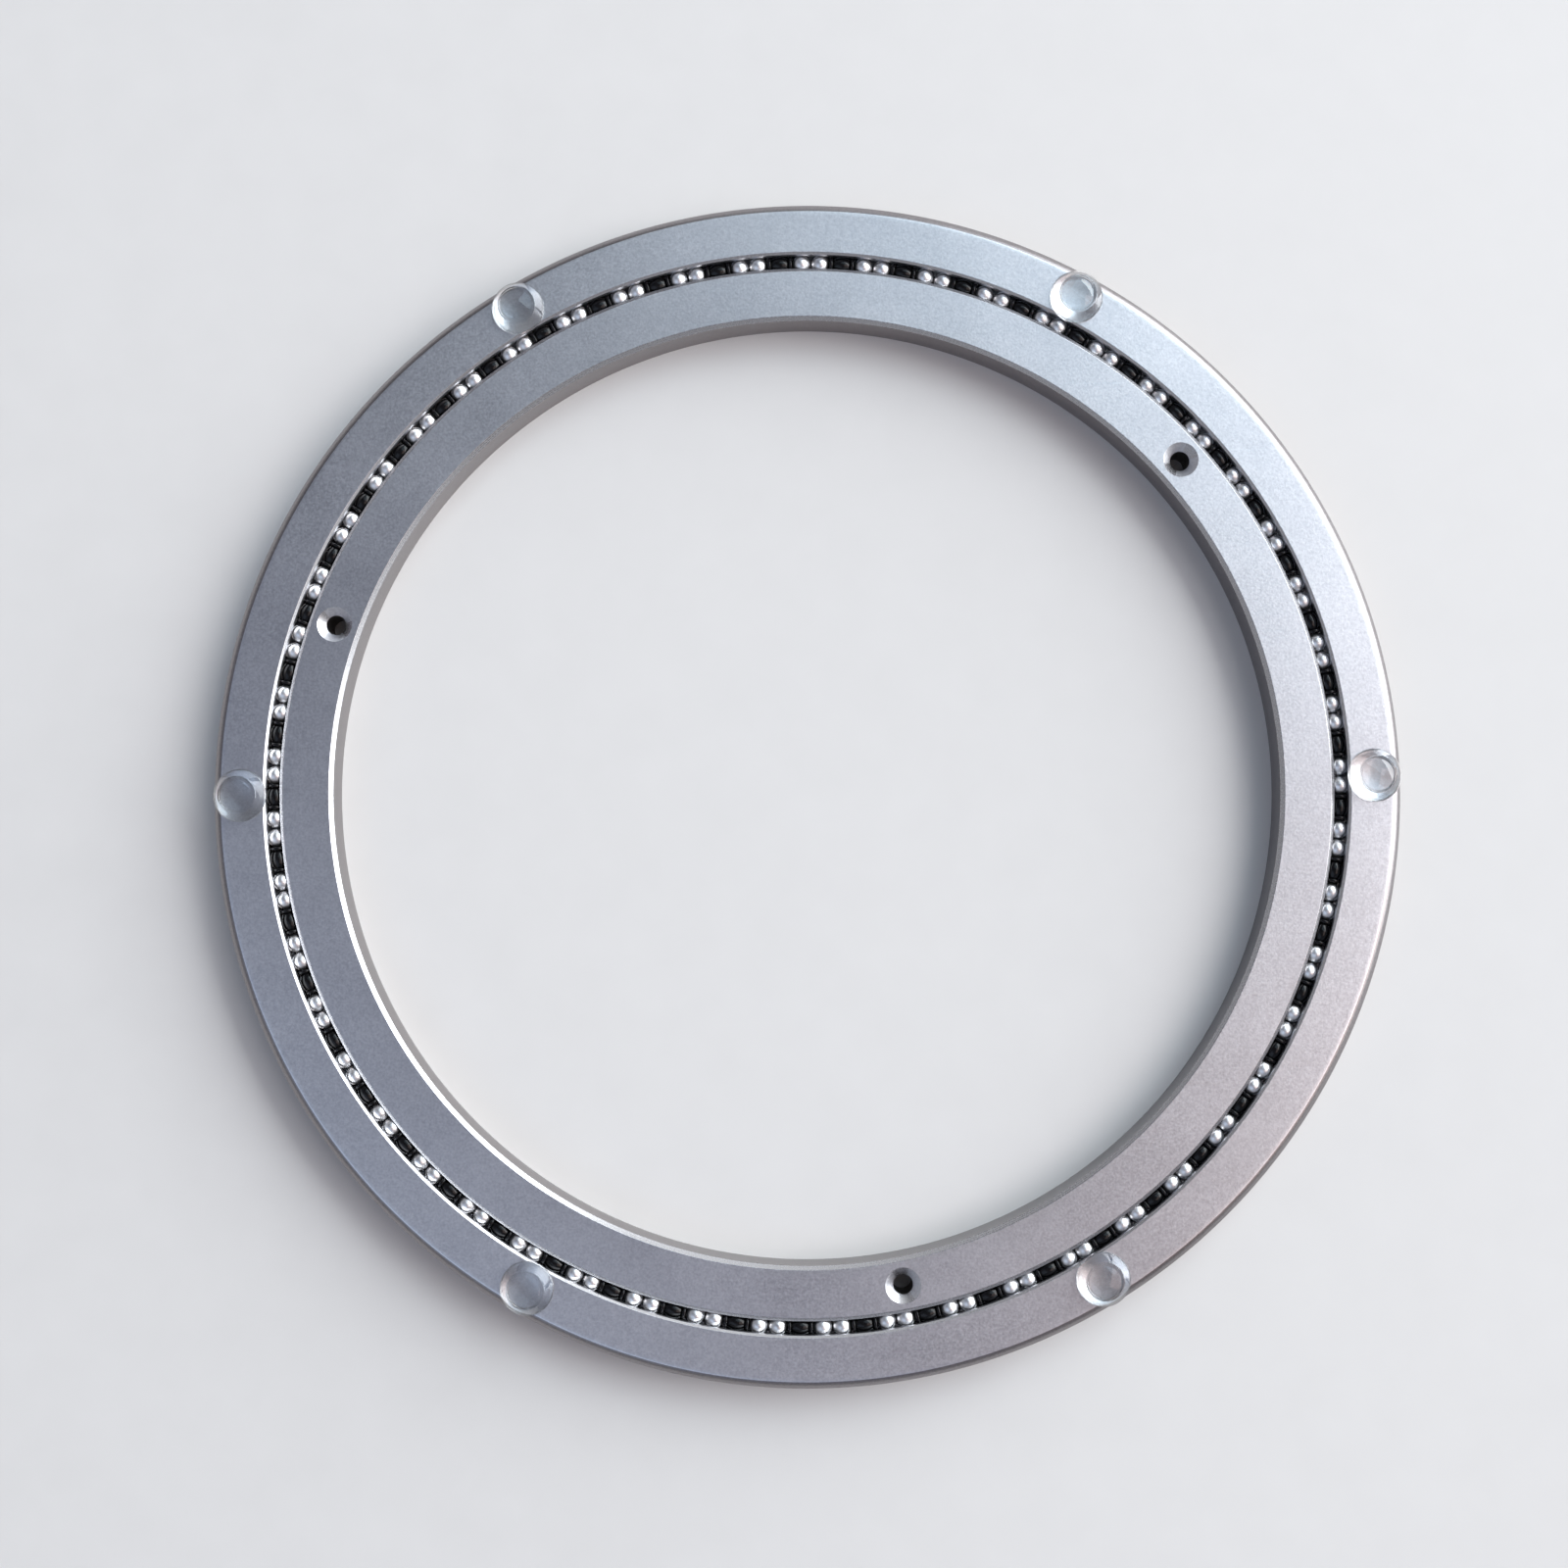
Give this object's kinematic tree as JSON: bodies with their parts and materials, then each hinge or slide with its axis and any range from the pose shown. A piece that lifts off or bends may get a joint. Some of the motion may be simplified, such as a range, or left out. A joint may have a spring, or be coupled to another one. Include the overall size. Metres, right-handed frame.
{
  "type": "lazy susan bearing",
  "caption": "Flat lazy susan bearing: an inner aluminium ring with countersunk screw holes turns on steel balls inside an outer ring that stands on clear soft feet.",
  "frame": {"origin": "on the bearing's axis, in the plane of the inner ring's board side, which is the lowest face as it lies with its feet up", "axes": "+Z along the axis from the board side to the feet, +X towards the foot that the picture shows on the right"},
  "size_m": [0.3, 0.3, 0.016],
  "materials": {
    "aluminium": "fine bead-blasted, clear anodised satin",
    "plug_steel": "turned steel",
    "silicone": "clear soft silicone",
    "ball_steel": "polished bearing steel",
    "spacer_plastic": "black moulded nylon, glossy"
  },
  "bodies": {
    "base": {"outer_ring": "aluminium", "loading_plug": "plug_steel", "feet": "silicone"},
    "top": {"inner_ring": "aluminium"},
    "ball_train": {"balls_1": "ball_steel", "balls_2": "ball_steel", "balls_3": "ball_steel", "balls_4": "ball_steel", "balls_5": "ball_steel", "balls_6": "ball_steel", "balls_7": "ball_steel", "balls_8": "ball_steel", "spacers_1": "spacer_plastic", "spacers_2": "spacer_plastic", "spacers_3": "spacer_plastic", "spacers_4": "spacer_plastic", "spacers_5": "spacer_plastic", "spacers_6": "spacer_plastic", "spacers_7": "spacer_plastic", "spacers_8": "spacer_plastic"}
  },
  "joints": [
    {"name": "turn", "type": "hinge", "parent": "base", "child": "top", "pos_m": [0, 0, 0.0081], "axis": [0, 0, 1], "continuous": true},
    {"name": "train_turn", "type": "hinge", "parent": "base", "child": "ball_train", "pos_m": [0, 0, 0.0081], "axis": [0, 0, 1], "continuous": true}
  ],
  "couplings": [
    {"joint": "train_turn", "follows": "turn", "ratio": 0.4938}
  ]
}
